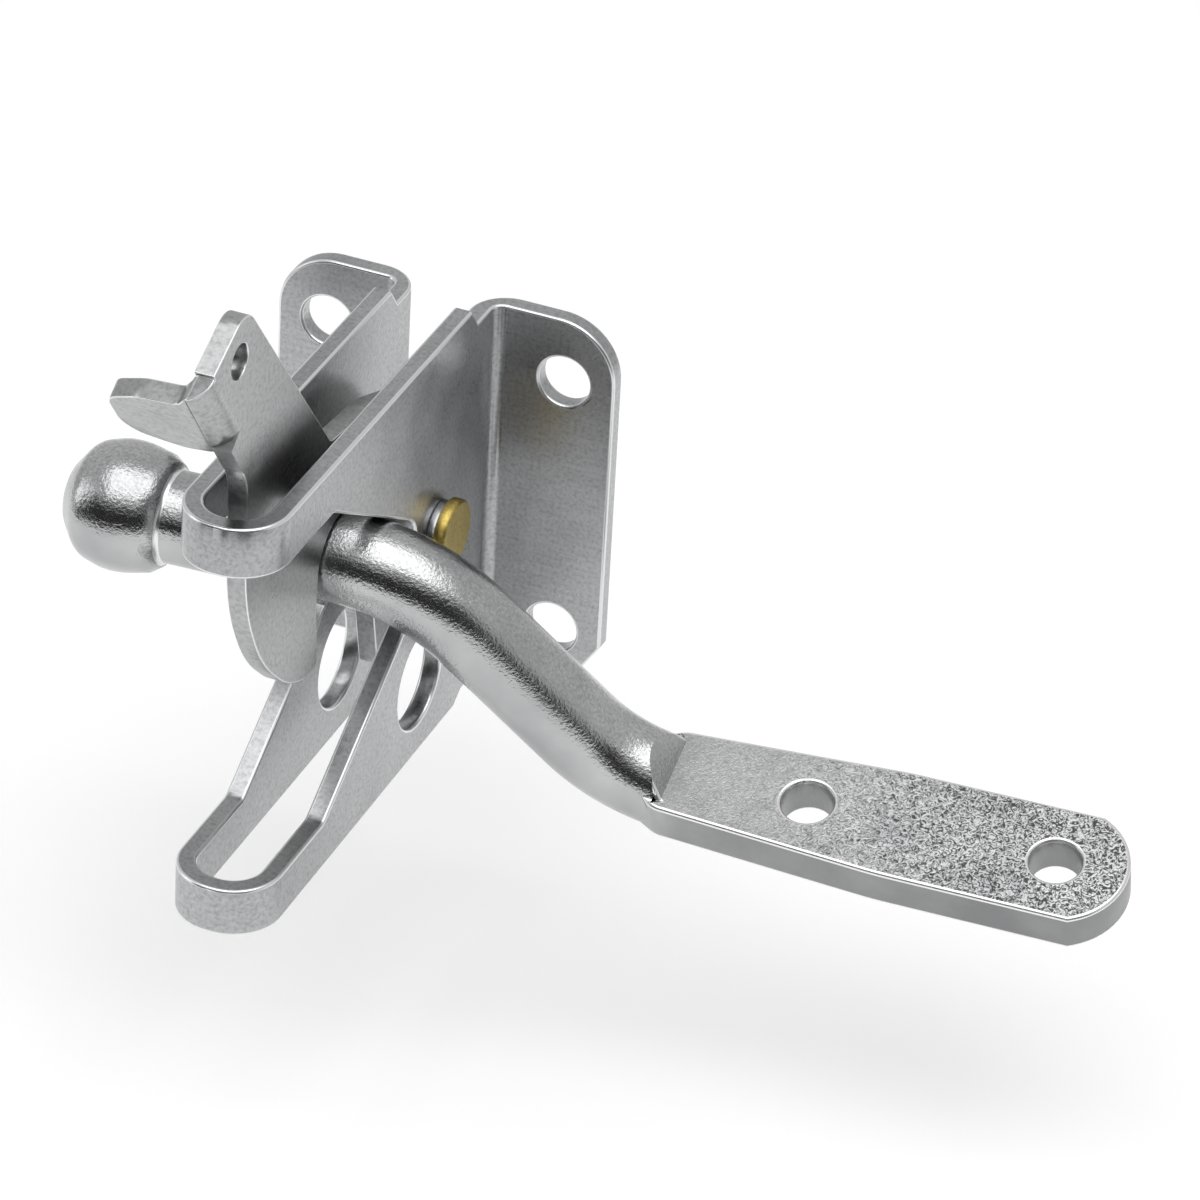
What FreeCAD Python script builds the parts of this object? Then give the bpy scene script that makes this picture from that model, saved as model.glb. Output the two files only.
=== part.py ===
# Gate latch: a folded sheet case that is bolted to a post, a gravity latch arm that
# turns on a rivet between the case walls, and a round strike bar that lies in the throat.
# Millimetres. The post plane is Y = 0 and the case stands out towards -Y. Z is up.
# The origin is the middle of the four bolt holes, on the back of the flanges.
import FreeCAD, Part
import math
import os
import Sketcher

os.makedirs("parts", exist_ok=True)
doc = FreeCAD.newDocument("gate_latch")
Vector = FreeCAD.Vector

# Every driving size: the name of the cell, its value, and what it measures.
SIZES = [
    ("sheet_thickness", 2.75, "thickness of the case sheet"),
    ("wall_half_width", 7.25, "middle of the case to the outer face of a wall"),
    ("nose_front", -74.7, "front of the rounded nose"),
    ("nose_flat_half", 0.35, "half of the flat left at the front of the nose"),
    ("nose_outer_radius", "=wall_half_width - nose_flat_half", "outer radius of the nose bend"),
    ("flange_half_width", 24.8, "middle of the case to the side of a flange"),
    ("flange_half_height", 29.1, "middle of the bolt holes to the flange top"),
    ("wall_rise", 2.9, "walls above the flange tops"),
    ("wall_fall", 1.5, "walls below the flange bottoms"),
    ("case_top", "=flange_half_height + wall_rise", "top edge of the walls"),
    ("case_bottom", "=-(flange_half_height + wall_fall)", "bottom edge of the walls"),
    ("beyond_nose", "=nose_front * 1.14", "a place well in front of the nose"),
    ("flange_top_radius", 8.5, "radius of the top outer corners"),
    ("flange_cut_width", 5.3, "width of the cut-off bottom corners"),
    ("flange_cut_height", 8.1, "height of the cut-off bottom corners"),
    ("fold_front_radius", 1.6, "inside radius of the flange fold"),
    ("fold_back_radius", 5.6, "outside radius of the flange fold"),
    ("bolt_half_x", 17.5, "half the bolt hole spacing across"),
    ("bolt_half_z", 19.65, "half the bolt hole spacing up"),
    ("bolt_hole_radius", 3.7, "radius of a bolt hole"),
    ("step_top_front", -10.9, "front end of the step in the top edge"),
    ("step_top_back", -8.7, "back end of the step in the top edge"),
    ("step_bottom_front", -11.6, "front end of the step in the bottom edge"),
    ("step_bottom_back", -9.3, "back end of the step in the bottom edge"),
    ("throat_top", 24.6, "underside of the upper strap"),
    ("throat_bottom", -23.5, "top of the lower strap"),
    ("throat_corner_top", -54.2, "where the upper strap meets the slanted edge"),
    ("throat_corner_bottom", -54.5, "where the lower strap meets the slanted edge"),
    ("throat_corner_radius", 2.2, "radius of those two corners"),
    ("throat_end", -27.0, "closed end of the throat"),
    ("throat_end_top", 8.1, "upper corner of the closed end"),
    ("throat_end_bottom", -5.9, "lower corner of the closed end"),
    ("throat_end_radius", 5.0, "radius of those two corners"),
    ("pivot_y", -20.0, "pivot in front of the post plane"),
    ("pivot_z", 3.0, "height of the pivot"),
    ("rivet_radius", 3.1, "radius of the rivet shank"),
    ("rivet_hole_radius", 3.12, "radius of the rivet holes in the walls"),
    ("arm_bore_radius", 3.17, "radius of the hole the arm turns on"),
    ("head_radius", 4.8, "radius of the rivet heads"),
    ("head_thickness", 1.7, "thickness of a rivet head"),
    ("head_chamfer", 0.35, "rim chamfer of a rivet head"),
    ("washer_radius", 4.2, "radius of the washer under the right head"),
    ("washer_thickness", 1.2, "thickness of that washer"),
    ("spacer_radius", 5.6, "radius of the spacers beside the arm"),
    ("spacer_play", 0.28, "gap between a spacer and the arm"),
    ("lock_hole_y", -23.9, "padlock hole in front of the post plane"),
    ("lock_hole_z", -18.8, "height of the padlock hole"),
    ("lock_hole_radius", 7.1, "radius of the padlock hole"),
    ("arm_thickness", 2.8, "thickness of the arm plate"),
    ("back_edge_y", -42.7, "lower end of the arm's straight back edge"),
    ("back_edge_z", 27.4, "its height"),
    ("ear_y", -69.4, "top corner of the ear"),
    ("ear_z", 61.4, "its height"),
    ("ear_radius", 3.7, "radius of the ear"),
    ("ear_front_at", -0.1, "front of the ear, down the tab's bend line"),
    ("notch_inner_at", 14.17, "inner corner of the notch, down the bend line"),
    ("notch_outer_at", 14.4, "outer corner of the notch, down the bend line"),
    ("plate_seat", 0.02, "plate set back from the start of the bend"),
    ("arm_front_y", -68.3, "upright front edge of the arm"),
    ("arm_front_top", 35.5, "upper end of the front edge"),
    ("arm_front_bottom", 16.0, "lower end of the front edge"),
    ("nose_one_y", -62.6, "first corner of the hook's curved front"),
    ("nose_one_z", 4.2, "its height"),
    ("nose_two_y", -54.5, "second corner of the hook's curved front"),
    ("nose_two_z", -3.4, "its height"),
    ("nose_three_y", -49.0, "third corner of the hook's curved front"),
    ("nose_three_z", -5.8, "its height"),
    ("hook_tip_y", -45.0, "tip of the hook"),
    ("hook_tip_z", -5.9, "its height"),
    ("hook_lip_y", -45.3, "inner lip of the hook"),
    ("hook_lip_z", -2.5, "its height"),
    ("hook_bay_y", -45.95, "deepest part of the hook behind the lip"),
    ("hook_bay_z", 3.2, "its height"),
    ("pocket_front_y", -45.4, "front side of the pocket round the bar"),
    ("pocket_back_y", -31.7, "back side of the pocket round the bar"),
    ("pocket_top", 14.4, "top of the pocket round the bar"),
    ("pocket_radius", 6.8, "radius of the pocket"),
    ("pocket_back_end", 1.5, "lower end of the pocket's back side"),
    ("tail_neck_y", -27.4, "front of the tail under the pivot"),
    ("tail_neck_z", -6.0, "its height"),
    ("tail_front_y", -24.8, "front corner at the tail's end"),
    ("tail_back_y", -15.2, "back corner at the tail's end"),
    ("tail_bottom", -18.4, "end of the tail"),
    ("hub_low_y", -10.4, "lower back of the hub"),
    ("hub_low_z", -3.5, "its height"),
    ("hub_back_y", -8.6, "back of the hub"),
    ("hub_back_z", 11.5, "its height"),
    ("hub_rear_y", -18.2, "upper back of the hub"),
    ("hub_rear_z", 21.9, "its height"),
    ("hub_top_y", -29.0, "top of the hub"),
    ("hub_top_z", 25.9, "its height"),
    ("ear_hole_y", -71.5, "hole in the ear"),
    ("ear_hole_z", 54.7, "its height"),
    ("ear_hole_radius", 2.4, "radius of the hole in the ear"),
    ("tab_y", -81.8, "top end of the tab's sharp bend line"),
    ("tab_z", 54.2, "its height"),
    ("tab_tilt", 35.73, "lean of the tab's bend line back from upright, degrees"),
    ("tab_bend_radius", 3.6, "outer radius of the tab's bend"),
    ("tab_reach", -13.9, "outer side of the tab"),
    ("tab_start", -0.25, "top end of the bent strip above the bend line's end"),
    ("tab_length", 17.2, "length of the bent strip along the bend line"),
    ("tab_root_low", -14.5, "lower end of the tab at the fold, along the bend line"),
    ("tab_belly_x", -6.2, "lowest corner of the tab"),
    ("tab_belly", -17.0, "its place along the bend line"),
    ("tab_corner_low", -15.4, "lower outer corner of the tab"),
    ("tab_corner_high", -6.6, "upper outer corner of the tab"),
    ("tab_back_x", -8.6, "corner in the tab's top edge"),
    ("tab_back", -3.7, "its place along the bend line"),
    ("tab_dip_x", -3.0, "foot of the tab's top edge at the fold"),
    ("tab_dip", -2.9, "its place along the bend line"),
    ("tab_rise_x", -1.6, "corner of the fold's top edge"),
    ("tab_rise", -0.75, "its place along the bend line"),
    ("tab_root_high", 0.09, "upper end of the tab at the fold"),
    ("bar_radius", 6.35, "radius of the strike bar"),
    ("bar_y", -38.5, "bar axis in front of the post plane"),
    ("bar_z", 7.6, "height of the bar axis"),
    ("bar_swing", 3.3, "turn of the bar about the upright, degrees"),
    ("bar_roll", 17.5, "roll of the bar about its own axis, degrees"),
    ("knob_end", -37.0, "left end of the knob"),
    ("knob_length", 14.7, "length of the knob"),
    ("bar_neck_start", "=knob_end + 0.94 * knob_length", "left end of the plain round bar"),
    ("bend_one_x", 12.0, "first bend's corner along the bar"),
    ("bend_one_radius", 24.0, "axis radius of the first bend"),
    ("bend_two_x", 39.2, "second bend's corner along the bar"),
    ("bend_two_radius", 20.0, "axis radius of the second bend"),
    ("bar_drop", 31.6, "drop of the flat below the bar axis"),
    ("flat_half_thickness", 3.0, "half the thickness of the flat"),
    ("shoulder_run", 7.2, "second bend's corner to the end of the slanted shoulder"),
    ("flat_start", "=bend_two_x + shoulder_run", "where the slanted shoulder ends"),
    ("bar_round_end", "=flat_start + 3.2", "right end of the round section"),
    ("flat_root_x", "=flat_start - 5.4", "left end of the flat inside the round"),
    ("flat_root_half", 3.9, "half width there"),
    ("flat_shoulder_x", "=flat_start - 0.8", "shoulder of the flat"),
    ("flat_shoulder_half", 6.9, "half width there"),
    ("flat_wide_x", 77.0, "where the flat reaches its width"),
    ("flat_half_width", 8.95, "half width of the flat"),
    ("flat_tip", 109.3, "right end of the flat"),
    ("flat_hole_one", 65.1, "first hole along the bar"),
    ("flat_hole_two", 99.4, "second hole along the bar"),
    ("tip_radius", "=flat_tip - flat_hole_two", "the end is cropped round the second hole"),
    ("blank_end", "=flat_tip + 1.5", "end of the flat before it is cropped"),
    ("flat_hole_radius", 3.5, "radius of the holes"),
    ("flat_shoulder_radius", 4.0, "radius of the flat's shoulders"),
    ("flat_side_radius", 90.0, "radius where the flat's sides become straight"),
    ("shoulder_slope", 1.5, "rise of the slanted shoulder for each millimetre along the bar"),
    ("knob_radius", 8.95, "radius of the knob"),
    ("dome_flat", 3.9, "radius of the nearly flat middle of the knob's end"),
    ("dome_length", 3.0, "length of the knob's domed end"),
    ("dome_radius", 7.9, "radius where the dome turns into the side"),
    ("side_start", 6.6, "start of the knob's widest part, from its end"),
    ("side_end", 9.2, "end of the widest part"),
    ("taper_end", 12.8, "end of the taper behind the widest part"),
    ("taper_radius", 8.1, "radius there"),
    ("collar_start", 14.2, "rim at the back of the knob"),
    ("collar_radius", 7.1, "radius of that rim"),
    ("root_radius", 5.6, "radius of the knob's back inside the bar"),
    ("dome_curve", 4.0, "rounding of the knob's domed end"),
    ("side_curve", 8.0, "rounding between the dome and the widest part"),
    ("taper_curve", 12.0, "rounding between the widest part and the taper"),
]

sheet = doc.addObject("Spreadsheet::Sheet", "sizes")
for row, (alias, value, note) in enumerate(SIZES, start=1):
    sheet.set("A%d" % row, note)
    sheet.set("B%d" % row, str(value))
    sheet.setAlias("B%d" % row, alias)
doc.recompute()
SIZE = {alias: float(sheet.get(alias)) for alias, value, note in SIZES}
CENTRES = {"XY": "XY_Plane", "XZ": "XZ_Plane", "YZ": "YZ_Plane"}


def amount(entry):
    """Number of one coordinate: a cell name, the same with a minus, or a plain number."""
    if not isinstance(entry, str):
        return float(entry)
    if entry.startswith("-"):
        return -SIZE[entry[1:]]
    return SIZE[entry]


def formula(entry):
    """Expression of one coordinate, or None for a plain number."""
    if not isinstance(entry, str):
        return None
    if entry.startswith("-"):
        return "-sizes." + entry[1:]
    return "sizes." + entry


def new_body(name):
    """Empty body for one sub-part."""
    body = doc.addObject("PartDesign::Body", name)
    doc.recompute()
    return body


def new_sketch(body, name, plane, shift=None, tilt=0.0):
    """Sketch on one of the body's own origin planes, moved and tilted about X if asked."""
    sketch = body.newObject("Sketcher::SketchObject", name)
    for item in body.Origin.OriginFeatures:
        if item.Role == CENTRES[plane]:
            sketch.AttachmentSupport = [(item, "")]
    sketch.MapMode = "FlatFace"
    if shift is not None or tilt != 0.0:
        base = Vector(*(shift or (0, 0, 0)))
        turn = FreeCAD.Rotation(Vector(1, 0, 0), tilt)
        sketch.AttachmentOffset = FreeCAD.Placement(base, turn)
    return sketch


def bind(sketch, made, entries):
    """Tie each new constraint to its cell."""
    for index, entry in zip(made, entries):
        text = formula(entry)
        if text is not None:
            sketch.setExpression("Constraints[%d]" % index, text)


def outline(sketch, corners, closed=True):
    """Straight lines through the corners, each corner (x, y, radius or None) rounded."""
    count = len(corners)
    points = [Vector(amount(c[0]), amount(c[1]), 0) for c in corners]
    arcs = {}
    starts = list(points)
    ends = list(points)
    for i in range(count):
        radius_entry = corners[i][2]
        if radius_entry is None or (not closed and i in (0, count - 1)):
            continue
        radius = amount(radius_entry)
        before = points[i - 1] - points[i]
        before.normalize()
        after = points[(i + 1) % count] - points[i]
        after.normalize()
        half = before.getAngle(after) / 2
        reach = radius / math.tan(half)
        middle = before + after
        middle.normalize()
        centre = points[i] + middle * (radius / math.sin(half))
        ends[i] = points[i] + before * reach
        starts[i] = points[i] + after * reach
        turn_left = before.cross(after).z < 0
        arcs[i] = (centre, radius, turn_left)
    spans = count if closed else count - 1
    lines = []
    for i in range(spans):
        segment = Part.LineSegment(starts[i], ends[(i + 1) % count])
        lines.append(sketch.addGeometry(segment, False))
    rules = []
    entries = []
    for i in range(count):
        incoming = lines[i - 1] if (closed or i > 0) else None
        outgoing = lines[i] if i < spans else None
        if i in arcs:
            centre, radius, turn_left = arcs[i]
            first = ends[i] if turn_left else starts[i]
            last = starts[i] if turn_left else ends[i]
            angle_one = math.atan2(first.y - centre.y, first.x - centre.x)
            angle_two = math.atan2(last.y - centre.y, last.x - centre.x)
            circle = Part.Circle(centre, Vector(0, 0, 1), radius)
            arc = sketch.addGeometry(Part.ArcOfCircle(circle, angle_one, angle_two), False)
            corner = sketch.addGeometry(Part.Point(points[i]), True)
            near = 1 if turn_left else 2
            far = 2 if turn_left else 1
            rules += [
                Sketcher.Constraint("Tangent", incoming, 2, arc, near),
                Sketcher.Constraint("Tangent", outgoing, 1, arc, far),
                Sketcher.Constraint("PointOnObject", corner, 1, incoming),
                Sketcher.Constraint("PointOnObject", corner, 1, outgoing),
                Sketcher.Constraint("Radius", arc, radius),
                Sketcher.Constraint("DistanceX", -1, 1, corner, 1, points[i].x),
                Sketcher.Constraint("DistanceY", -1, 1, corner, 1, points[i].y),
            ]
            entries += [0, 0, 0, 0, corners[i][2], corners[i][0], corners[i][1]]
            continue
        if incoming is not None and outgoing is not None:
            rules.append(Sketcher.Constraint("Coincident", incoming, 2, outgoing, 1))
            entries.append(0)
        line, end = (outgoing, 1) if outgoing is not None else (incoming, 2)
        rules.append(Sketcher.Constraint("DistanceX", -1, 1, line, end, points[i].x))
        rules.append(Sketcher.Constraint("DistanceY", -1, 1, line, end, points[i].y))
        entries += [corners[i][0], corners[i][1]]
    made = sketch.addConstraint(rules)
    bind(sketch, made, entries)


def soft_radius(before, corner, after, share=0.49):
    """Radius of the arc whose ends lie a share of the shorter side away from the corner."""
    here = Vector(amount(corner[0]), amount(corner[1]), 0)
    back = Vector(amount(before[0]), amount(before[1]), 0) - here
    ahead = Vector(amount(after[0]), amount(after[1]), 0) - here
    reach = share * min(back.Length, ahead.Length)
    return reach * math.tan(back.getAngle(ahead) / 2)


def circle(sketch, x, y, radius):
    """Circle with its centre and radius tied to cells."""
    centre = Vector(amount(x), amount(y), 0)
    ring = sketch.addGeometry(Part.Circle(centre, Vector(0, 0, 1), amount(radius)), False)
    rules = [
        Sketcher.Constraint("Radius", ring, amount(radius)),
        Sketcher.Constraint("DistanceX", -1, 1, ring, 3, centre.x),
        Sketcher.Constraint("DistanceY", -1, 1, ring, 3, centre.y),
    ]
    bind(sketch, sketch.addConstraint(rules), [radius, x, y])


def pad(body, name, sketch, length, midplane=False, backwards=False):
    """Extrusion of a sketch, its length a cell expression or a number."""
    feature = body.newObject("PartDesign::Pad", name)
    feature.Profile = sketch
    feature.Midplane = midplane
    feature.Reversed = backwards
    if isinstance(length, str):
        feature.setExpression("Length", length)
    else:
        feature.Length = length
    doc.recompute()
    return feature


def pocket(body, name, sketch, depth, midplane=True, backwards=False):
    """Cut of a sketch through the body, checked to have taken material away."""
    before = body.Shape.Volume
    feature = body.newObject("PartDesign::Pocket", name)
    feature.Profile = sketch
    feature.Midplane = midplane
    feature.Reversed = backwards
    if isinstance(depth, str):
        feature.setExpression("Length", depth)
    else:
        feature.Length = depth
    doc.recompute()
    if body.Shape.Volume > before - 0.5:
        raise RuntimeError(name + " removed nothing")
    return feature


def revolve(body, name, sketch, axis):
    """Full turn of a sketch about one of its own axes."""
    feature = body.newObject("PartDesign::Revolution", name)
    feature.Profile = sketch
    feature.ReferenceAxis = (sketch, [axis])
    feature.Angle = 360.0
    doc.recompute()
    return feature


def make_case():
    """Folded sheet: two flanges, two walls and the nose that joins them."""
    body = new_body("latch_case")
    plan = new_sketch(body, "case_plan", "XY", (0, 0, SIZE["case_bottom"]))
    plan.setExpression("AttachmentOffset.Base.z", "sizes.case_bottom")
    inner = SIZE["wall_half_width"] - SIZE["sheet_thickness"]
    inner_front = SIZE["nose_front"] + SIZE["sheet_thickness"]
    inner_radius = SIZE["nose_outer_radius"] - SIZE["sheet_thickness"]
    front = -SIZE["sheet_thickness"]
    outline(plan, [
        ("flange_half_width", front, None),
        ("wall_half_width", front, "fold_front_radius"),
        ("wall_half_width", "nose_front", "nose_outer_radius"),
        ("-wall_half_width", "nose_front", "nose_outer_radius"),
        ("-wall_half_width", front, "fold_front_radius"),
        ("-flange_half_width", front, None),
        ("-flange_half_width", 0, None),
        (-inner, 0, "fold_back_radius"),
        (-inner, inner_front, inner_radius),
        (inner, inner_front, inner_radius),
        (inner, 0, "fold_back_radius"),
        ("flange_half_width", 0, None),
    ])
    pad(body, "case_sheet", plan, "sizes.case_top - sizes.case_bottom")
    throat = new_sketch(body, "throat_side", "YZ")
    outline(throat, [
        ("beyond_nose", "throat_top", None),
        ("throat_corner_top", "throat_top", "throat_corner_radius"),
        ("throat_end", "throat_end_top", "throat_end_radius"),
        ("throat_end", "throat_end_bottom", "throat_end_radius"),
        ("throat_corner_bottom", "throat_bottom", "throat_corner_radius"),
        ("beyond_nose", "throat_bottom", None),
    ])
    pocket(body, "throat", throat, "4 * sizes.wall_half_width")
    clear = 6.0
    above = SIZE["case_top"] + clear
    below = SIZE["case_bottom"] - clear
    steps = new_sketch(body, "edge_steps", "YZ")
    outline(steps, [
        ("step_top_front", above, None),
        ("step_top_front", "case_top", None),
        ("step_top_back", "flange_half_height", None),
        (clear, "flange_half_height", None),
        (clear, above, None),
    ])
    outline(steps, [
        ("step_bottom_front", below, None),
        ("step_bottom_front", "case_bottom", None),
        ("step_bottom_back", "-flange_half_height", None),
        (clear, "-flange_half_height", None),
        (clear, below, None),
    ])
    pocket(body, "step_cut", steps, "3 * sizes.flange_half_width")
    trims = new_sketch(body, "flange_corners", "XZ")
    top_x = SIZE["flange_half_width"] - SIZE["flange_top_radius"] - 2.0
    top_z = SIZE["flange_half_height"] - SIZE["flange_top_radius"] - 2.0
    low_x = SIZE["flange_half_width"] - SIZE["flange_cut_width"]
    low_z = SIZE["flange_cut_height"] - SIZE["flange_half_height"]
    outside = SIZE["flange_half_width"] + clear
    for sign, side in ((1, "flange_half_width"), (-1, "-flange_half_width")):
        outline(trims, [
            (sign * top_x, "flange_half_height", None),
            (side, "flange_half_height", "flange_top_radius"),
            (side, top_z, None),
            (sign * outside, top_z, None),
            (sign * outside, above, None),
            (sign * top_x, above, None),
        ])
        outline(trims, [
            (sign * low_x, "-flange_half_height", None),
            (side, low_z, None),
            (sign * outside, low_z, None),
            (sign * outside, below, None),
            (sign * low_x, below, None),
        ])
    pocket(body, "corner_cut", trims, "8 * sizes.sheet_thickness")
    bolts = new_sketch(body, "bolt_holes", "XZ")
    for x in ("bolt_half_x", "-bolt_half_x"):
        for z in ("bolt_half_z", "-bolt_half_z"):
            circle(bolts, x, z, "bolt_hole_radius")
    pocket(body, "bolt_cut", bolts, "8 * sizes.sheet_thickness")
    side_holes = new_sketch(body, "wall_holes", "YZ")
    circle(side_holes, "lock_hole_y", "lock_hole_z", "lock_hole_radius")
    circle(side_holes, "pivot_y", "pivot_z", "rivet_hole_radius")
    pocket(body, "wall_hole_cut", side_holes, "4 * sizes.wall_half_width")
    return body


def make_arm():
    """Flat plate with a hook, a tail, an ear and a thumb tab bent over to the left."""
    body = new_body("latch_arm")
    half = SIZE["arm_thickness"] / 2
    thickness = SIZE["arm_thickness"]
    bend = SIZE["tab_bend_radius"]
    lean = math.radians(SIZE["tab_tilt"])
    start = SIZE["tab_start"]
    base = (0, SIZE["tab_y"] - start * math.sin(lean), SIZE["tab_z"] + start * math.cos(lean))
    section = new_sketch(body, "tab_section", "XY", base, SIZE["tab_tilt"])
    past = SIZE["tab_reach"] - 6.0
    outline(section, [
        (half, bend + 0.6, None),
        (half, 0, bend),
        (past, 0, None),
        (past, thickness, None),
        (-half, thickness, bend - thickness),
        (-half, bend + 0.6, None),
    ])
    pad(body, "tab_strip", section, "sizes.tab_length", backwards=True)
    face = (0, SIZE["tab_y"], SIZE["tab_z"])
    shape = new_sketch(body, "tab_outline", "XY", face, SIZE["tab_tilt"] + 90)
    inside = half + 2.6
    above = SIZE["tab_root_high"] + 5.0
    below = SIZE["tab_belly"] - 7.0
    outline(shape, [
        (inside, above, None),
        (past - 4.0, above, None),
        (past - 4.0, below, None),
        (inside, below, None),
        (inside, "tab_root_low", None),
        ("tab_belly_x", "tab_belly", 9.0),
        ("tab_reach", "tab_corner_low", 4.5),
        ("tab_reach", "tab_corner_high", 3.2),
        ("tab_back_x", "tab_back", 6.0),
        ("tab_dip_x", "tab_dip", 1.5),
        ("tab_rise_x", "tab_rise", 2.0),
        (inside, "tab_root_high", None),
    ])
    pocket(body, "tab_trim", shape, "sizes.tab_bend_radius", midplane=False)

    def beside_bend(down, back):
        """Side-view place of a point so far down the bend line and back from it."""
        y = SIZE["tab_y"] + back * math.cos(lean) + down * math.sin(lean)
        return y, SIZE["tab_z"] + back * math.sin(lean) - down * math.cos(lean)

    seat = bend + SIZE["plate_seat"]
    ear_front = beside_bend(SIZE["ear_front_at"], seat)
    notch_inner = beside_bend(SIZE["notch_inner_at"], seat)
    notch_outer = beside_bend(SIZE["notch_outer_at"], 0.0)
    front = [
        ("arm_front_y", "arm_front_top"),
        ("arm_front_y", "arm_front_bottom"),
        ("nose_one_y", "nose_one_z"),
        ("nose_two_y", "nose_two_z"),
        ("nose_three_y", "nose_three_z"),
        ("hook_tip_y", "hook_tip_z"),
    ]
    rounds = [soft_radius(front[i - 1], front[i], front[i + 1]) for i in range(1, 5)]
    side = new_sketch(body, "arm_side", "YZ")
    outline(side, [
        ("back_edge_y", "back_edge_z", 2.5),
        ("ear_y", "ear_z", "ear_radius"),
        (ear_front[0], ear_front[1], None),
        (notch_inner[0], notch_inner[1], None),
        (notch_outer[0], notch_outer[1], None),
        ("arm_front_y", "arm_front_top", 8.0),
        ("arm_front_y", "arm_front_bottom", rounds[0]),
        ("nose_one_y", "nose_one_z", rounds[1]),
        ("nose_two_y", "nose_two_z", rounds[2]),
        ("nose_three_y", "nose_three_z", rounds[3]),
        ("hook_tip_y", "hook_tip_z", 1.4),
        ("hook_lip_y", "hook_lip_z", 3.0),
        ("hook_bay_y", "hook_bay_z", 6.0),
        ("pocket_front_y", "pocket_top", "pocket_radius"),
        ("pocket_back_y", "pocket_top", "pocket_radius"),
        ("pocket_back_y", "pocket_back_end", 4.0),
        ("tail_neck_y", "tail_neck_z", 6.0),
        ("tail_front_y", "tail_bottom", 2.4),
        ("tail_back_y", "tail_bottom", 3.0),
        ("hub_low_y", "hub_low_z", 9.0),
        ("hub_back_y", "hub_back_z", 8.0),
        ("hub_rear_y", "hub_rear_z", 9.0),
        ("hub_top_y", "hub_top_z", 20.0),
    ])
    pad(body, "arm_plate", side, "sizes.arm_thickness", midplane=True)
    holes = new_sketch(body, "arm_holes", "YZ")
    circle(holes, "pivot_y", "pivot_z", "arm_bore_radius")
    circle(holes, "ear_hole_y", "ear_hole_z", "ear_hole_radius")
    pocket(body, "arm_hole_cut", holes, "3 * sizes.arm_thickness")
    return body


def make_ring(name, left, right, outer):
    """Washer or spacer on the rivet, from one X to the other, turned from its section."""
    body = new_body(name)
    section = new_sketch(body, name + "_section", "XY", (0, SIZE["pivot_y"], SIZE["pivot_z"]))
    section.setExpression("AttachmentOffset.Base.y", "sizes.pivot_y")
    section.setExpression("AttachmentOffset.Base.z", "sizes.pivot_z")
    outline(section, [
        (left, "rivet_hole_radius", None),
        (right, "rivet_hole_radius", None),
        (right, outer, None),
        (left, outer, None),
    ])
    revolve(body, name + "_ring", section, "H_Axis")
    return body


def make_rivet():
    """Pivot rivet: shank, flat right head over the washer, left head on the wall."""
    body = new_body("pivot_rivet")
    section = new_sketch(body, "rivet_section", "XY", (0, SIZE["pivot_y"], SIZE["pivot_z"]))
    section.setExpression("AttachmentOffset.Base.y", "sizes.pivot_y")
    section.setExpression("AttachmentOffset.Base.z", "sizes.pivot_z")
    head = SIZE["head_thickness"]
    cut = SIZE["head_chamfer"]
    right = SIZE["wall_half_width"] + SIZE["washer_thickness"]
    left = -SIZE["wall_half_width"]
    rim = SIZE["head_radius"] - cut
    outline(section, [
        (left - head, 0, None),
        (left - head, rim, None),
        (left - head + cut, "head_radius", None),
        (left, "head_radius", None),
        (left, "rivet_radius", None),
        (right, "rivet_radius", None),
        (right, "head_radius", None),
        (right + head - cut, "head_radius", None),
        (right + head, rim, None),
        (right + head, 0, None),
    ])
    revolve(body, "rivet_turned", section, "H_Axis")
    return body


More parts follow.
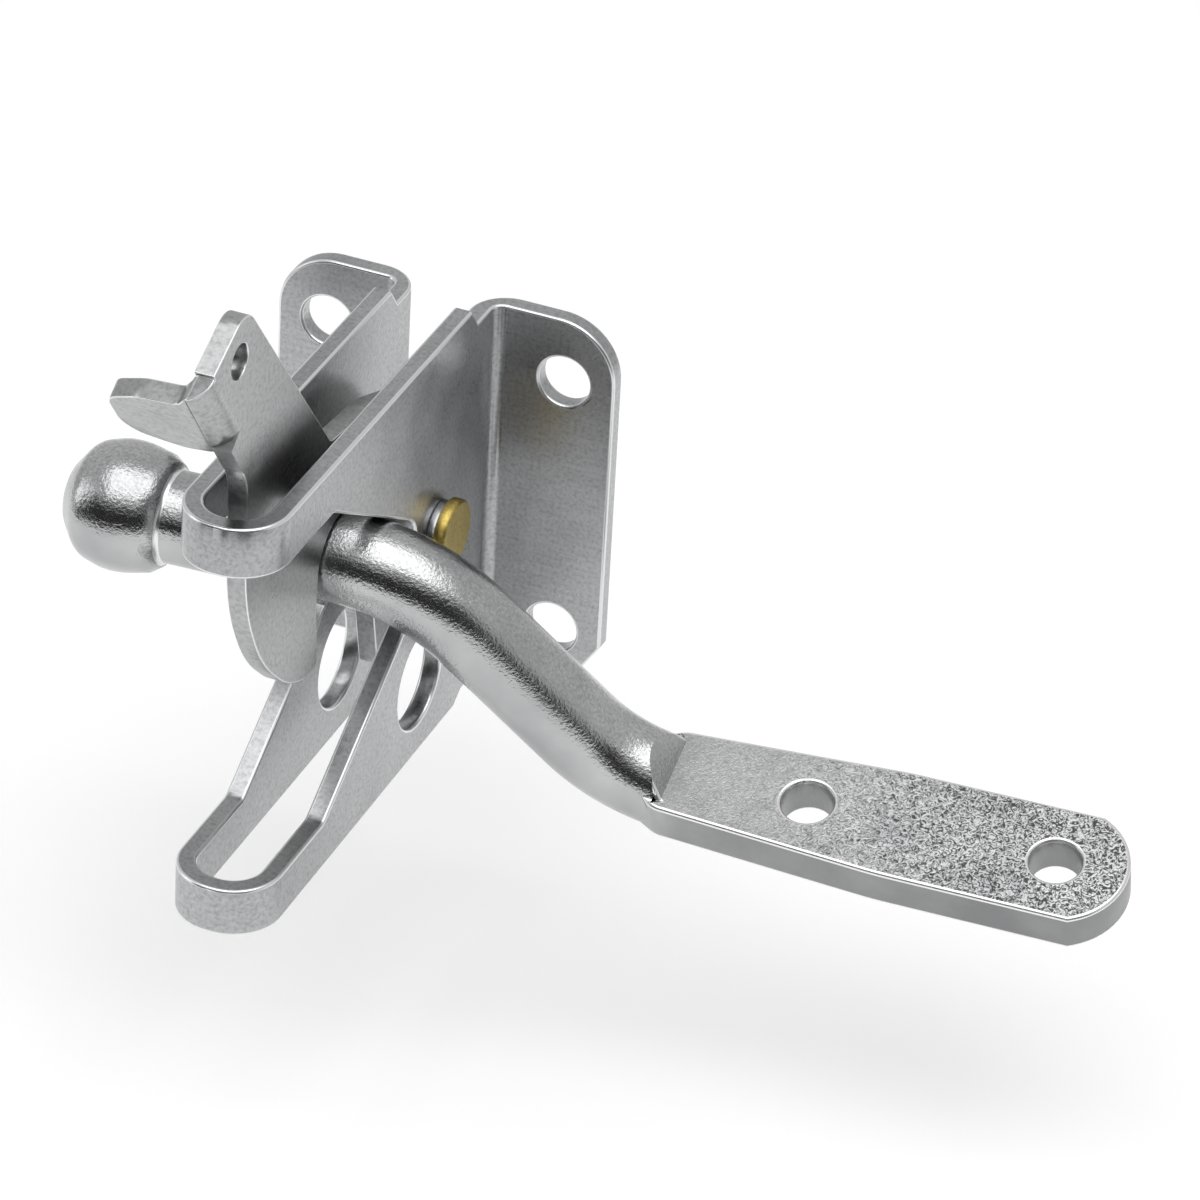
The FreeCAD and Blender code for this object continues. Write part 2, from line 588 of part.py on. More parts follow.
def make_bar():
    """Round bar with an upset knob, a double bend and a forged flat with two holes."""
    body = new_body("strike_bar")
    path = new_sketch(body, "bar_path", "XZ")
    outline(path, [
        ("bar_neck_start", 0, None),
        ("bend_one_x", 0, "bend_one_radius"),
        ("bend_two_x", "-bar_drop", "bend_two_radius"),
        ("bar_round_end", "-bar_drop", None),
    ], closed=False)
    ring = new_sketch(body, "bar_section", "YZ", (0, 0, SIZE["bar_neck_start"]))
    ring.setExpression("AttachmentOffset.Base.z", "sizes.bar_neck_start")
    circle(ring, 0, 0, "bar_radius")
    doc.recompute()
    round_part = body.newObject("PartDesign::AdditivePipe", "bar_round")
    round_part.Profile = ring
    round_part.Spine = path
    doc.recompute()
    middle = -SIZE["bar_drop"]
    plan = new_sketch(body, "flat_plan", "XY", (0, 0, middle))
    plan.setExpression("AttachmentOffset.Base.z", "-sizes.bar_drop")
    outline(plan, [
        ("flat_root_x", "flat_root_half", None),
        ("flat_root_x", "-flat_root_half", None),
        ("flat_shoulder_x", "-flat_shoulder_half", "flat_shoulder_radius"),
        ("flat_wide_x", "-flat_half_width", "flat_side_radius"),
        ("blank_end", "-flat_half_width", None),
        ("blank_end", "flat_half_width", None),
        ("flat_wide_x", "flat_half_width", "flat_side_radius"),
        ("flat_shoulder_x", "flat_shoulder_half", "flat_shoulder_radius"),
    ])
    pad(body, "flat_plate", plan, "2 * sizes.flat_half_thickness", midplane=True)
    half = SIZE["flat_half_thickness"]
    past = SIZE["bar_round_end"] + 2.4
    tall = 2 * SIZE["bar_radius"]
    high_x = SIZE["flat_start"] - tall / SIZE["shoulder_slope"]
    for name, sign in (("upper", 1), ("lower", -1)):
        wedge = new_sketch(body, name + "_shoulder", "XZ")
        edge = middle + sign * half
        outline(wedge, [
            ("flat_start", edge, None),
            (past, edge, None),
            (past, edge + sign * tall, None),
            (high_x, edge + sign * tall, None),
        ])
        pocket(body, name + "_shoulder_cut", wedge, "4 * sizes.bar_radius")
    crop = new_sketch(body, "tip_crop", "XY", (0, 0, middle))
    crop.setExpression("AttachmentOffset.Base.z", "-sizes.bar_drop")
    point_x = SIZE["flat_hole_two"] + 2 * SIZE["tip_radius"]
    side_y = 1.6 * SIZE["flat_half_width"]
    side_x = point_x - side_y / math.tan(math.radians(30))
    outline(crop, [
        (point_x, 0, "tip_radius"),
        (side_x, -side_y, None),
        (point_x, -side_y, None),
        (point_x + SIZE["tip_radius"], 0, None),
        (point_x, side_y, None),
        (side_x, side_y, None),
    ])
    pocket(body, "tip_cropped", crop, "5 * sizes.flat_half_thickness")
    holes = new_sketch(body, "flat_holes", "XY", (0, 0, middle))
    holes.setExpression("AttachmentOffset.Base.z", "-sizes.bar_drop")
    circle(holes, "flat_hole_one", 0, "flat_hole_radius")
    circle(holes, "flat_hole_two", 0, "flat_hole_radius")
    pocket(body, "flat_hole_cut", holes, "5 * sizes.flat_half_thickness")
    end = SIZE["knob_end"]
    knob = new_sketch(body, "knob_side", "XZ")
    outline(knob, [
        (end, 0, None),
        (end, "dome_flat", "dome_curve"),
        (end + SIZE["dome_length"], "dome_radius", "dome_curve"),
        (end + SIZE["side_start"], "knob_radius", "side_curve"),
        (end + SIZE["side_end"], "knob_radius", "taper_curve"),
        (end + SIZE["taper_end"], "taper_radius", None),
        (end + SIZE["collar_start"], "collar_radius", None),
        (end + SIZE["knob_length"], "root_radius", None),
        (end + SIZE["knob_length"], 0, None),
    ])
    revolve(body, "knob_turned", knob, "H_Axis")
    turn = FreeCAD.Rotation(Vector(0, 0, 1), SIZE["bar_swing"])
    roll = FreeCAD.Rotation(Vector(1, 0, 0), SIZE["bar_roll"])
    seat = Vector(0, SIZE["bar_y"], SIZE["bar_z"])
    body.Placement = FreeCAD.Placement(seat, turn * roll)
    doc.recompute()
    return body


inner_face = SIZE["wall_half_width"] - SIZE["sheet_thickness"]
spacer_end = SIZE["arm_thickness"] / 2 + SIZE["spacer_play"]
outer_face = SIZE["wall_half_width"]
bodies = [
    make_case(),
    make_arm(),
    make_rivet(),
    make_ring("rivet_washer", outer_face, outer_face + SIZE["washer_thickness"], "washer_radius"),
    make_ring("spacer_left", -inner_face, -spacer_end, "spacer_radius"),
    make_ring("spacer_right", spacer_end, inner_face, "spacer_radius"),
    make_bar(),
]
doc.recompute()
for item in doc.Objects:
    if "Invalid" in item.State or "Error" in item.State:
        raise RuntimeError(item.Name + " is not valid")
for body in bodies:
    shape = body.Shape
    if shape.isNull() or not shape.isValid() or len(shape.Solids) != 1:
        raise RuntimeError(body.Name + " is not one valid solid")
    shape.exportStep("parts/%s.step" % body.Name)
    box = shape.BoundBox
    print(body.Name, round(shape.Volume, 1), [round(v, 2) for v in (
        box.XMin, box.XMax, box.YMin, box.YMax, box.ZMin, box.ZMax)])
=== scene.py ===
"""Looks of the gate latch: zinc plated sheet, a forged strike bar and a yellow rivet.

The CAD nodes keep their shapes. Each sub-assembly class rounds the edges of its own nodes
and dresses them in finishes worked out from real grain sizes in millimetres.
"""

import logging
from dataclasses import dataclass
from enum import Enum

import bpy
import numpy as np
from mathutils import Matrix, Vector


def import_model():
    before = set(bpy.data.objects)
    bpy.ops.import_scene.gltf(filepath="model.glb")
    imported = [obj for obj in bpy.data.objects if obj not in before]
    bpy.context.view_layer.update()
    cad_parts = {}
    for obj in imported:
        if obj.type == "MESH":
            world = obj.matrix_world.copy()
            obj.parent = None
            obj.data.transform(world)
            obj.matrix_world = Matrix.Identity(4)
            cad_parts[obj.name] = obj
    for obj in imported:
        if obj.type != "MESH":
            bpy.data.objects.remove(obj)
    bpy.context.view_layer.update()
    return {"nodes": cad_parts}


Colour = tuple[float, float, float, float]
Point = tuple[float, float, float]
Span = tuple[float, float]

MM = 0.001
log = logging.getLogger("gate_latch")

# The CAD mesh is loose triangles. Its copy in the modifiers is joined and its flats are made
# whole again, and then its edges are rounded.
SEAM_GAP = 0.03 * MM  # corners nearer than this are one
FLAT_ANGLE = np.radians(1.2)  # faces that turn less than this are one flat
SHARP_ANGLE = np.radians(62.0)  # edges sharper than this are rounded
EDGE_SLOT = 1  # a node's first material is for its faces, and this one for its edges

# Sockets of a Mix node of colours, by number, because hidden sockets have the same names.
MIX_FACTOR, MIX_A, MIX_B, MIX_OUT = 0, 6, 7, 2
NOISE_MIDDLE = 0.5


class EdgeSoftness(Enum):
    """How far each kind of edge is rounded, in millimetres."""

    SHEARED = 0.40
    STAMPED = 0.15
    FORGED = 0.50
    TURNED = 0.18


def srgb(code: str) -> Colour:
    """Turn an sRGB hex colour into the linear colour that shaders read.

    Args:
        code: Colour such as "#8a8c8e".

    Returns:
        Linear red, green and blue, and a full alpha.
    """
    channels = np.array([int(code[i:i + 2], 16) for i in (1, 3, 5)]) / 255.0
    low = channels / 12.92
    high = ((channels + 0.055) / 1.055) ** 2.4
    linear = np.where(channels <= 0.04045, low, high)
    return (*linear.tolist(), 1.0)


def grey(value: float) -> Colour:
    """Plain linear grey."""
    return (value, value, value, 1.0)


def pattern_scale(size_mm: float) -> float:
    """Scale of a pattern on Object coordinates whose features have this size."""
    return 1.0 / (size_mm * MM)


def add_node(tree: bpy.types.NodeTree, kind: str, feeds: dict | None = None,
             stops: dict[float, Colour] | None = None, **settings: object) -> bpy.types.Node:
    """Add a node, set it up and feed its inputs.

    Args:
        tree: Node tree that gets the node.
        kind: Node type. The "ShaderNode" start of a shader node's type is left out.
        feeds: Input name or number to the output socket or the value that feeds it.
        stops: Place and linear colour of each stop of a colour ramp, in order.
        **settings: Properties by name, or input values by name with "_" for a space.

    Returns:
        The new node.
    """
    node = tree.nodes.new(kind if "Node" in kind else "ShaderNode" + kind)
    for key, value in settings.items():
        if key in node.bl_rna.properties:
            setattr(node, key, value)
        else:
            node.inputs[key.replace("_", " ")].default_value = value
    for key, source in (feeds or {}).items():
        if isinstance(source, bpy.types.NodeSocket):
            tree.links.new(source, node.inputs[key])
        else:
            node.inputs[key].default_value = source
    if stops:
        band = node.color_ramp.elements
        while len(band) < len(stops):
            band.new(1.0)
        for element, (place, colour) in zip(band, stops.items()):
            element.position = place
            element.color = colour
    return node


def empty_material(name: str) -> tuple[bpy.types.Material, bpy.types.NodeTree]:
    """New material without any node.

    Args:
        name: The material's name.

    Returns:
        The material and its node tree.
    """
    material = bpy.data.materials.new(name)
    material.use_nodes = True
    material.node_tree.nodes.clear()
    return material, material.node_tree


@dataclass(frozen=True)
class PlatedSteel:
    """Plated steel: a satin metal with a cloudy tone, fine grain and soft scratches.

    The plating, bright zinc on rolled sheet and yellow on the rivet, has a tone that drifts
    over centimetres, and the steel under it gives the grain. The grain is really finer, and
    is drawn at the smallest size that shows.
    """

    name: str
    dark: str
    light: str
    cloud_mm: float = 14.0
    cloud_span: Span = (0.30, 0.70)
    grain_mm: float = 0.55
    grain_stops: tuple[float, float, float] = (0.35, 0.50, 0.68)
    grain_tone: float = 0.10
    scratch_mm: float = 0.45
    scratch_run_mm: float = 9.0
    scratch_span: Span = (0.30, 0.60)
    roughness: Span = (0.24, 0.36)
    bump: float = 0.22
    relief_mm: float = 0.02

    def build(self) -> bpy.types.Material:
        """Multiply the cloudy tone by the grain and the scratches.

        Returns:
            The material.
        """
        material, tree = empty_material(self.name)
        place = add_node(tree, "TexCoord").outputs["Object"]
        cloud = add_node(tree, "TexNoise", {"Vector": place}, Detail=4.0, Roughness=0.55,
                         Scale=pattern_scale(self.cloud_mm)).outputs["Fac"]
        grain = add_node(tree, "TexNoise", {"Vector": place}, Detail=3.0, Roughness=0.6,
                         Scale=pattern_scale(self.grain_mm)).outputs["Fac"]
        stretch = add_node(tree, "Mapping", {"Vector": place}, Scale=(
            pattern_scale(self.scratch_run_mm), pattern_scale(self.scratch_mm),
            pattern_scale(self.scratch_mm)))
        scratch = add_node(tree, "TexNoise", {"Vector": stretch.outputs["Vector"]}, Scale=1.0,
                           Detail=2.0).outputs["Fac"]
        dimmed, plain, lifted = (grey(1.0 - self.grain_tone), grey(1.0),
                                 grey(1.0 + self.grain_tone))
        tone = add_node(tree, "ValToRGB", {"Fac": cloud}, dict(zip(
            self.cloud_span, (srgb(self.dark), srgb(self.light)))))
        speck = add_node(tree, "ValToRGB", {"Fac": grain}, dict(zip(
            self.grain_stops, (grey(1.0 - self.grain_tone * 2.0), plain, lifted))))
        streak = add_node(tree, "ValToRGB", {"Fac": scratch}, dict(zip(
            self.scratch_span, (dimmed, plain))))
        colour = tone.outputs["Color"]
        for pattern in (speck, streak):
            colour = add_node(tree, "Mix", {
                MIX_FACTOR: 1.0, MIX_A: colour, MIX_B: pattern.outputs["Color"]},
                data_type="RGBA", blend_type="MULTIPLY").outputs[MIX_OUT]
        rough = add_node(tree, "MapRange", {"Value": cloud}, From_Min=self.cloud_span[0],
                         From_Max=self.cloud_span[1], To_Min=self.roughness[0],
                         To_Max=self.roughness[1])
        bump = add_node(tree, "Bump", {"Height": grain}, Strength=self.bump,
                        Distance=self.relief_mm * MM)
        shader = add_node(tree, "BsdfPrincipled", {
            "Base Color": colour, "Roughness": rough.outputs["Result"],
            "Normal": bump.outputs["Normal"]}, Metallic=1.0)
        add_node(tree, "OutputMaterial", {"Surface": shader.outputs["BSDF"]})
        return material


@dataclass(frozen=True)
class ForgedZinc:
    """Zinc on a drawn and forged bar: a tight bright surface, worked to a broken grain.

    The drawn round shows the lamps as bands with fine specks along their borders. The
    hammered flat is duller, and its short crossed marks grow stronger towards its end. Its
    sides, which face less upward, are darkened as painted shade.
    The specks are really finer, and are drawn at the smallest size that shows.
    """

    name: str
    dark: str
    light: str
    cloud_mm: float = 11.0
    cloud_span: Span = (0.32, 0.68)
    speck_mm: float = 0.45
    mark_mm: float = 0.85
    flat_mm: Span = (44.0, 50.0)  # from the round to the flat, along the bar
    worn_mm: Span = (52.0, 104.0)  # from the fresh to the worn end of the flat
    marks: Span = (0.9, 8.0)  # strength of the marks at the two ends of worn_mm
    dulling: Span = (0.84, 0.74)  # tone at the same two ends
    topside: Span = (0.2, 0.7)  # upward part of the normal, on a side and on the top
    # painted shade: tone of the flat's sides, which face less upward
    side_shade_tone: float = 0.66
    shade_limits: Span = (0.16, 1.4)
    round_roughness: float = 0.19
    flat_roughness: float = 0.33
    relief_mm: Span = (0.07, 0.05)  # on the round and on the flat

    def along(self, tree: bpy.types.NodeTree, place: bpy.types.NodeSocket, span_mm: Span,
              values: Span) -> bpy.types.NodeSocket:
        """Value that changes smoothly along the bar.

        Args:
            tree: Node tree that gets the nodes.
            place: Object coordinates.
            span_mm: Where the change starts and ends, to the right of the case's middle.
            values: The value before and after.

        Returns:
            The value's output.
        """
        across = add_node(tree, "SeparateXYZ", {0: place}).outputs["X"]
        node = add_node(tree, "MapRange", {"Value": across}, interpolation_type="SMOOTHSTEP",
                        From_Min=span_mm[0] * MM, From_Max=span_mm[1] * MM, To_Min=values[0],
                        To_Max=values[1])
        return node.outputs["Result"]

    def build(self) -> bpy.types.Material:
        """Shade the cloudy tone by specks on the round and by worn marks on the flat, and paint
        shade on the flat's sides.

        Returns:
            The material.
        """
        material, tree = empty_material(self.name)
        place = add_node(tree, "TexCoord").outputs["Object"]
        cloud = add_node(tree, "TexNoise", {"Vector": place}, Detail=3.0,
                         Scale=pattern_scale(self.cloud_mm))
        speck = add_node(tree, "TexNoise", {"Vector": place}, Detail=2.0, Roughness=0.65,
                         Scale=pattern_scale(self.speck_mm))
        marks = add_node(tree, "TexNoise", {"Vector": place}, Detail=2.5, Distortion=2.6,
                         Scale=pattern_scale(self.mark_mm))
        worked = self.along(tree, place, self.flat_mm, (0.0, 1.0))
        grain = add_node(tree, "Mix", {"Factor": worked, "A": speck.outputs["Fac"],
                                       "B": marks.outputs["Fac"]}).outputs["Result"]
        normal = add_node(tree, "NewGeometry").outputs["Normal"]
        upward = add_node(tree, "SeparateXYZ", {0: normal}).outputs["Z"]
        topside = add_node(tree, "MapRange", {"Value": upward}, From_Min=self.topside[0],
                           From_Max=self.topside[1], interpolation_type="SMOOTHSTEP")
        worn = add_node(tree, "Math", {0: self.along(tree, place, self.worn_mm, self.marks),
                                       1: topside.outputs["Result"]}, operation="MULTIPLY")
        swing = add_node(tree, "Math", {0: grain, 1: NOISE_MIDDLE}, operation="SUBTRACT")
        dull = self.along(tree, place, self.worn_mm, self.dulling)
        shade = add_node(tree, "Math", {0: swing.outputs[0], 1: worn.outputs[0], 2: dull},
                         operation="MULTIPLY_ADD")
        # Painted shade: on the flat, faces whose normal points less upward are darkened towards
        # the side tone.
        side = add_node(tree, "MapRange", {"Value": topside.outputs["Result"]},
                        To_Min=self.side_shade_tone)
        side_shade = add_node(tree, "Mix", {"Factor": worked, "B": side.outputs["Result"]}, A=1.0)
        shade = add_node(tree, "Math", {0: shade.outputs[0], 1: side_shade.outputs["Result"]},
                         operation="MULTIPLY")
        shade = add_node(tree, "Clamp", {"Value": shade.outputs[0]}, Min=self.shade_limits[0],
                         Max=self.shade_limits[1])
        tone = add_node(tree, "ValToRGB", {"Fac": cloud.outputs["Fac"]}, dict(zip(
            self.cloud_span, (srgb(self.dark), srgb(self.light)))))
        shaded = add_node(tree, "VectorMath", {0: tone.outputs["Color"], 1: shade.outputs[0]},
                          operation="MULTIPLY")
        rough = self.along(tree, place, self.flat_mm, (self.round_roughness, self.flat_roughness))
        relief = self.along(tree, place, self.flat_mm, tuple(np.multiply(self.relief_mm, MM)))
        bump = add_node(tree, "Bump", {"Height": grain, "Distance": relief}, Strength=1.0)
        shader = add_node(tree, "BsdfPrincipled", {
            "Base Color": shaded.outputs[0], "Roughness": rough,
            "Normal": bump.outputs["Normal"]}, Metallic=1.0)
        add_node(tree, "OutputMaterial", {"Surface": shader.outputs["BSDF"]})
        return material


@dataclass(frozen=True)
class BareEdge:
    """Plain metal, light and smooth, for turned faces and rounded edges. On the edges its light
    colour is partly bare metal and partly a painted highlight.
    """

    name: str
    colour: str
    roughness: float = 0.28

    def build(self) -> bpy.types.Material:
        """Make the plain metal.

        Returns:
            The material.
        """
        material, tree = empty_material(self.name)
        shader = add_node(tree, "BsdfPrincipled", Base_Color=srgb(self.colour), Metallic=1.0,
                          Roughness=self.roughness)
        add_node(tree, "OutputMaterial", {"Surface": shader.outputs["BSDF"]})
        return material


@dataclass(frozen=True)
class CrowdedPlace:
    """Ball, in the row frame, where short edges crowd and a rounding would tear them."""

    centre_mm: Point
    reach_mm: float


def spare_edges(piece: bpy.types.Object, crowded: CrowdedPlace) -> None:
    """Mark the sharp edges to round, and keep those in a crowded place as hard edges.

    Args:
        piece: CAD node's object, before its edges are rounded.
        crowded: Edges whose middle is inside it stay sharp.
    """
    tree = bpy.data.node_groups.new("edges_to_round", "GeometryNodeTree")
    for way in ("INPUT", "OUTPUT"):
        tree.interface.new_socket(name="Geometry", in_out=way, socket_type="NodeSocketGeometry")
    shape = add_node(tree, "NodeGroupInput").outputs[0]
    turn = add_node(tree, "GeometryNodeInputMeshEdgeAngle").outputs["Unsigned Angle"]
    sharp = add_node(tree, "Math", {0: turn, 1: SHARP_ANGLE}, operation="GREATER_THAN")
    place = add_node(tree, "GeometryNodeInputPosition").outputs[0]
    centre = tuple(np.multiply(crowded.centre_mm, MM))
    away = add_node(tree, "VectorMath", {0: place, 1: centre}, operation="DISTANCE")
    for name, kind, side in (("bevel_weight_edge", "FLOAT", "GREATER_THAN"),
                             ("sharp_edge", "BOOLEAN", "LESS_THAN")):
        chosen = add_node(tree, "Math", {0: away.outputs["Value"], 1: crowded.reach_mm * MM},
                          operation=side)
        both = add_node(tree, "Math", {0: sharp.outputs[0], 1: chosen.outputs[0]},
                        operation="MULTIPLY")
        shape = add_node(tree, "GeometryNodeStoreNamedAttribute", {
            "Geometry": shape, "Name": name, "Value": both.outputs[0]}, data_type=kind,
            domain="EDGE").outputs[0]
    add_node(tree, "NodeGroupOutput", {0: shape})
    piece.modifiers.new("edges_to_round", "NODES").node_group = tree


def soften(piece: bpy.types.Object, softness: EdgeSoftness, finish: bpy.types.Material,
           edge: bpy.types.Material, steps: int = 3, crowded: CrowdedPlace | None = None) -> None:
    """Round a CAD node's edges and dress it, its shape otherwise kept.

    Args:
        piece: CAD node's object.
        softness: How far its edges are rounded.
        finish: Material of its faces.
        edge: Material of the rounded edges.
        steps: Facets across each rounded edge.
        crowded: Place whose edges stay sharp.
    """
    piece.data.materials.clear()
    for material in (finish, edge):
        piece.data.materials.append(material)
    weld = piece.modifiers.new("join_seams", "WELD")
    weld.merge_threshold = SEAM_GAP
    flat = piece.modifiers.new("join_flats", "DECIMATE")
    flat.decimate_type = "DISSOLVE"
    flat.angle_limit = FLAT_ANGLE
    if crowded:
        spare_edges(piece, crowded)
    bevel = piece.modifiers.new("soft_edges", "BEVEL")
    bevel.width = softness.value * MM
    bevel.segments = steps
    bevel.limit_method = "WEIGHT" if crowded else "ANGLE"
    bevel.angle_limit = SHARP_ANGLE
    bevel.material = EDGE_SLOT
    bevel.harden_normals = True
    bevel.use_clamp_overlap = False
    bevel.miter_outer = "MITER_ARC"


@dataclass
class LatchCase:
    """Folded sheet case that is screwed to the post."""

    nodes: dict[str, bpy.types.Object]
    softness: EdgeSoftness = EdgeSoftness.SHEARED

    def dress(self) -> list[str]:
        """Zinc plated sheet with bright sheared edges, whose light colour is partly a painted
        highlight.

        Returns:
            Names of the dressed pieces.
        """
        sheet = PlatedSteel("zinc_plated_sheet", "#a6a7a8", "#babbbc").build()
        # painted highlight: the edge colour is lighter than the sheet, partly bare metal and
        # partly a highlight line on the rounded edges
        edge = BareEdge("zinc_sheared_edge_highlight", "#e6e7e8").build()
        soften(self.nodes["latch_case"], self.softness, sheet, edge)
        return ["latch_case"]


@dataclass
class LatchArm:
    """Stamped arm with the hook, the tail and the thumb tab."""

    nodes: dict[str, bpy.types.Object]
    softness: EdgeSoftness = EdgeSoftness.STAMPED
    tab_root: CrowdedPlace = CrowdedPlace(centre_mm=(-1.4, -73.8, 45.8), reach_mm=7.4)

    def dress(self) -> list[str]:
        """Zinc plated plate with bright stamped edges, left sharp at the root of the tab. The
        edges' light colour is partly a painted highlight.

        Returns:
            Names of the dressed pieces.
        """
        plate = PlatedSteel("zinc_plated_plate", "#a4a5a6", "#b8b9b9", grain_mm=0.7).build()
        # painted highlight: the edge colour is lighter than the plate, partly bare metal and
        # partly a highlight line on the rounded edges
        edge = BareEdge("zinc_stamped_edge_highlight", "#e6e7e8").build()
        soften(self.nodes["latch_arm"], self.softness, plate, edge, crowded=self.tab_root)
        return ["latch_arm"]


@dataclass
class PivotRivet:
    """Rivet, the collar under its head and the hidden spacers."""

    nodes: dict[str, bpy.types.Object]
    softness: EdgeSoftness = EdgeSoftness.TURNED
    ring_steps: int = 2

    def dress(self) -> list[str]:
        """Yellow passivated rivet, and rings of bright turned steel.

        Returns:
            Names of the dressed pieces.
        """
        yellow = PlatedSteel("yellow_passivated_rivet", "#b09a52", "#c8b268", cloud_mm=5.0,
                             grain_mm=0.4, roughness=(0.28, 0.40)).build()
        # painted highlight: the rim is paler than the yellow head, partly paler metal and partly
        # a highlight on its rounded edge
        rim = BareEdge("rivet_rim_highlight", "#d9d3b4").build()
        turned = BareEdge("turned_collar", "#b4b5b6", roughness=0.24).build()
        soften(self.nodes["pivot_rivet"], self.softness, yellow, rim)
        rings = ["rivet_washer", "spacer_left", "spacer_right"]
        for name in rings:
            soften(self.nodes[name], self.softness, turned, turned, self.ring_steps)
        return ["pivot_rivet", *rings]


@dataclass
class StrikeBar:
    """Round bar with the knob, the double bend and the forged flat."""

    nodes: dict[str, bpy.types.Object]
    softness: EdgeSoftness = EdgeSoftness.FORGED
    edge_steps: int = 4

    def dress(self) -> list[str]:
        """Bright zinc on the drawn round, duller and marked on the forged flat, with painted
        shade on the flat's sides.

        Returns:
            Names of the dressed pieces.
        """
        forged = ForgedZinc("zinc_plated_forging", "#b8b9ba", "#d0d1d1").build()
        # painted highlight: the edge colour is near white, partly bare metal and partly a
        # highlight line on the rounded edges
        edge = BareEdge("forging_edge_highlight", "#ececec").build()
        soften(self.nodes["strike_bar"], self.softness, forged, edge, self.edge_steps)
        return ["strike_bar"]


@dataclass(frozen=True)
class PhotoCamera:
    """The photograph's camera, from a fit of the flange, walls and nose to their outlines."""

    azimuth_deg: float = 21.028
    elevation_deg: float = 32.692
    roll_deg: float = 3.294
    distance_mm: float = 907.0
    aside_mm: float = 20.86
    below_mm: float = 18.40
    lens_mm: float = 198.75
    sensor_mm: float = 36.0
    clip_m: Span = (0.05, 50.0)

    def axes(self) -> tuple[Vector, Vector, Vector]:
        """Right, up and backward axes of the camera.

        Returns:
            Unit vectors in the row frame.
        """
        azimuth, height, roll = np.radians([self.azimuth_deg, self.elevation_deg, self.roll_deg])
        back = Vector((np.sin(azimuth) * np.cos(height), -np.cos(azimuth) * np.cos(height),
                       np.sin(height)))
        level = Vector((np.cos(azimuth), np.sin(azimuth), 0.0))
        rise = back.cross(level)
        right = np.cos(roll) * level + np.sin(roll) * rise
        up = np.cos(roll) * rise - np.sin(roll) * level
        return right, up, back

    def build(self) -> None:
        """Put the camera where the photograph's was."""
        right, up, back = self.axes()
        place = (right * self.aside_mm - up * self.below_mm + back * self.distance_mm) * MM
        data = bpy.data.cameras.new("photo_camera")
        data.lens = self.lens_mm
        data.sensor_width = self.sensor_mm
        data.clip_start, data.clip_end = self.clip_m
        camera = bpy.data.objects.new("photo_camera", data)
        turn = Matrix((right, up, back)).transposed().to_4x4()
        camera.matrix_world = Matrix.Translation(place) @ turn
        bpy.context.scene.collection.objects.link(camera)
        bpy.context.scene.camera = camera


@dataclass(frozen=True)
class SoftLamp:
    """Soft rectangular lamp aimed at the latch, in metres and watts."""

    name: str
    place: Point
    size: Span
    power: float
    aim: Point = (0.03, -0.04, 0.0)

    def build(self) -> None:
        """Hang the lamp."""
        data = bpy.data.lights.new(self.name, "AREA")
        data.shape = "RECTANGLE"
        data.size, data.size_y = self.size
        data.energy = self.power
        lamp = bpy.data.objects.new(self.name, data)
        lamp.location = self.place
        lamp.rotation_euler = (Vector(self.aim) - Vector(self.place)).to_track_quat(
            "-Z", "Y").to_euler()
        bpy.context.scene.collection.objects.link(lamp)


@dataclass(frozen=True)
class WhiteFloor:
    """White floor that still takes a soft shadow."""

    height_mm: float = -62.0
    radius: float = 0.36
    corners: int = 128
    paper: str = "#e9e9e9"
    shadow_lift: float = 0.25

    def build(self) -> None:
        """Lay a disc of white paper, and add a glow where the camera or gloss looks at it."""
        turn = np.linspace(0.0, 2.0 * np.pi, self.corners, endpoint=False)
        rim = np.column_stack((np.cos(turn), np.sin(turn), np.zeros_like(turn)))
        mesh = bpy.data.meshes.new("studio_floor")
        mesh.from_pydata((rim * self.radius).tolist(), [], [list(range(self.corners))])
        floor = bpy.data.objects.new("studio_floor", mesh)
        floor.location.z = self.height_mm * MM
        bpy.context.scene.collection.objects.link(floor)
        material, tree = empty_material("white_floor")
        rays = add_node(tree, "LightPath").outputs
        seen = rays["Is Camera Ray"]
        for kind in ("Is Glossy Ray", "Is Transmission Ray"):
            seen = add_node(tree, "Math", {0: seen, 1: rays[kind]},
                            operation="MAXIMUM").outputs[0]
        lift = add_node(tree, "Math", {0: seen, 1: self.shadow_lift}, operation="MULTIPLY")
        glow = add_node(tree, "Emission", {"Strength": lift.outputs[0]}, Color=grey(1.0))
        matt = add_node(tree, "BsdfDiffuse", Color=srgb(self.paper))
        both = add_node(tree, "AddShader", {0: glow.outputs[0], 1: matt.outputs[0]})
        add_node(tree, "OutputMaterial", {"Surface": both.outputs[0]})
        mesh.materials.append(material)


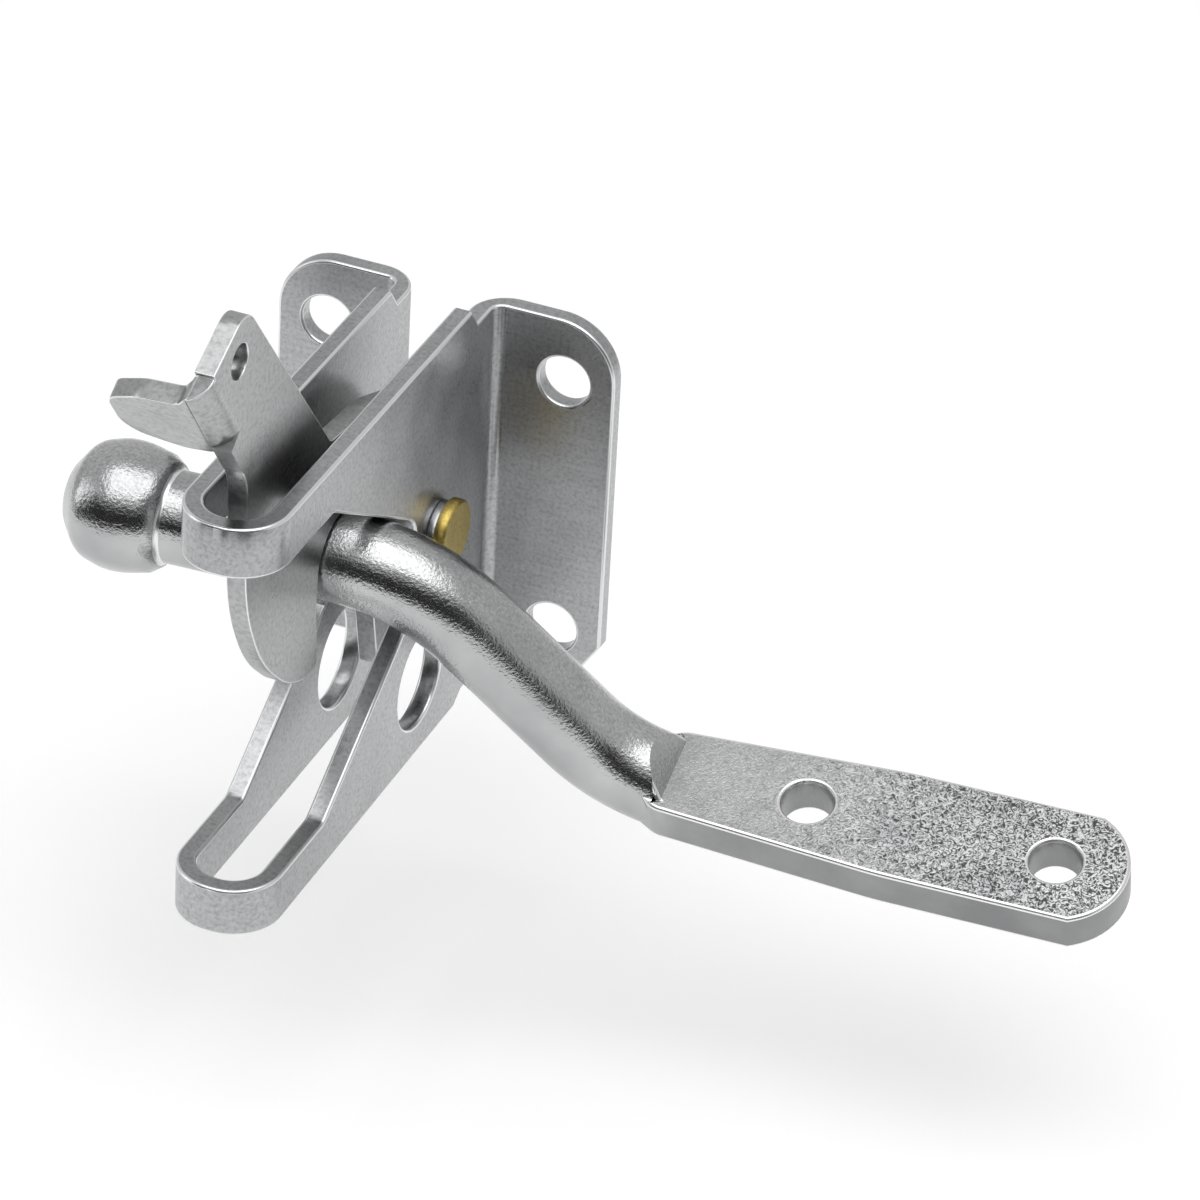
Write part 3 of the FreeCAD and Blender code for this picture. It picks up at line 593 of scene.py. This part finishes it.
@dataclass(frozen=True)
class WhiteSurround:
    """Surroundings that are plain white to the camera and a pale fill to light and gloss.

    The fill grows a little with height, and is dim low in front of the latch. The bar
    mirrors that part as its dark band. The spans are on the direction's upright and
    front-to-back parts.
    """

    low_light: float = 0.62
    high_light: float = 0.67
    rise_span: Span = (0.10, 0.95)
    dim_light: float = 0.05
    front_span: Span = (-0.20, -0.60)
    low_span: Span = (0.60, 0.36)

    def build(self) -> None:
        """Make the world."""
        world = bpy.data.worlds.new("white_surround")
        bpy.context.scene.world = world
        world.use_nodes = True
        tree = world.node_tree
        tree.nodes.clear()
        rays = add_node(tree, "LightPath").outputs
        seen = add_node(tree, "Math", {0: rays["Is Camera Ray"], 1: rays["Is Transmission Ray"]},
                        operation="MAXIMUM")
        way = add_node(tree, "TexCoord").outputs["Generated"]
        sides = add_node(tree, "SeparateXYZ", {0: way}).outputs
        rise = add_node(tree, "MapRange", {"Value": sides["Z"]}, From_Min=self.rise_span[0],
                        From_Max=self.rise_span[1], To_Min=self.low_light,
                        To_Max=self.high_light, interpolation_type="SMOOTHSTEP")
        front = add_node(tree, "MapRange", {"Value": sides["Y"]}, From_Min=self.front_span[0],
                         From_Max=self.front_span[1], interpolation_type="SMOOTHSTEP")
        low = add_node(tree, "MapRange", {"Value": sides["Z"]}, From_Min=self.low_span[0],
                       From_Max=self.low_span[1], interpolation_type="SMOOTHSTEP")
        band = add_node(tree, "Math", {0: front.outputs["Result"], 1: low.outputs["Result"]},
                        operation="MULTIPLY")
        dim = add_node(tree, "MapRange", {"Value": band.outputs[0]}, To_Min=1.0,
                       To_Max=self.dim_light)
        level = add_node(tree, "Math", {0: rise.outputs["Result"], 1: dim.outputs["Result"]},
                         operation="MULTIPLY")
        fill = add_node(tree, "Background", {"Strength": level.outputs[0]}, Color=grey(1.0))
        white = add_node(tree, "Background", Color=grey(1.0), Strength=1.0)
        mixed = add_node(tree, "MixShader", {0: seen.outputs[0], 1: fill.outputs[0],
                                             2: white.outputs[0]})
        add_node(tree, "OutputWorld", {"Surface": mixed.outputs[0]})


@dataclass(frozen=True)
class Studio:
    """Camera, floor, white surroundings and lamps."""

    camera: PhotoCamera = PhotoCamera()
    floor: WhiteFloor = WhiteFloor()
    surround: WhiteSurround = WhiteSurround()
    lamps: tuple[SoftLamp, ...] = (
        SoftLamp("top_lamp", place=(0.12, -0.29, 0.92), size=(1.20, 0.95), power=5.7),
        SoftLamp("left_lamp", place=(-0.95, -0.45, 0.30), size=(0.5, 0.6), power=1.2))

    def build(self) -> None:
        """Set the whole studio up."""
        bpy.context.scene.view_settings.view_transform = "Standard"
        for item in (self.camera, self.floor, self.surround, *self.lamps):
            item.build()


def main() -> None:
    """Dress every sub-assembly and set up the studio."""
    logging.basicConfig(level=logging.INFO, format="%(message)s")
    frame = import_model()
    nodes = frame["nodes"]
    for part in (LatchCase(nodes), LatchArm(nodes), PivotRivet(nodes), StrikeBar(nodes)):
        for piece in part.dress():
            log.info("%s: %s dressed", type(part).__name__, piece)
    Studio().build()


if __name__ == "__main__":
    main()
